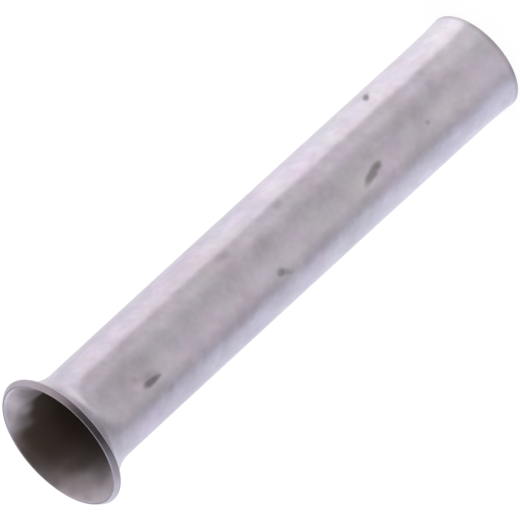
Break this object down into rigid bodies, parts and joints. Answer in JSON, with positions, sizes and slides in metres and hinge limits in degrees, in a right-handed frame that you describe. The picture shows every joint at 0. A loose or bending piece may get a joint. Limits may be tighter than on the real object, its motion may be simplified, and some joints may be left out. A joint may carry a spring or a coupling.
{
  "type": "wire ferrule",
  "caption": "Bare end sleeve for a stranded wire: a thin tin-plated copper tube with a flared mouth and a square cut end.",
  "frame": {"origin": "centre of the cut end's plane, on which the sleeve stands", "axes": "+Z along the bore from the cut end to the flared mouth"},
  "size_m": [0.0028, 0.0028, 0.012],
  "materials": {
    "tinned_copper": "satin"
  },
  "bodies": {
    "root": {"ferrule_sleeve": "tinned_copper"}
  },
  "joints": []
}
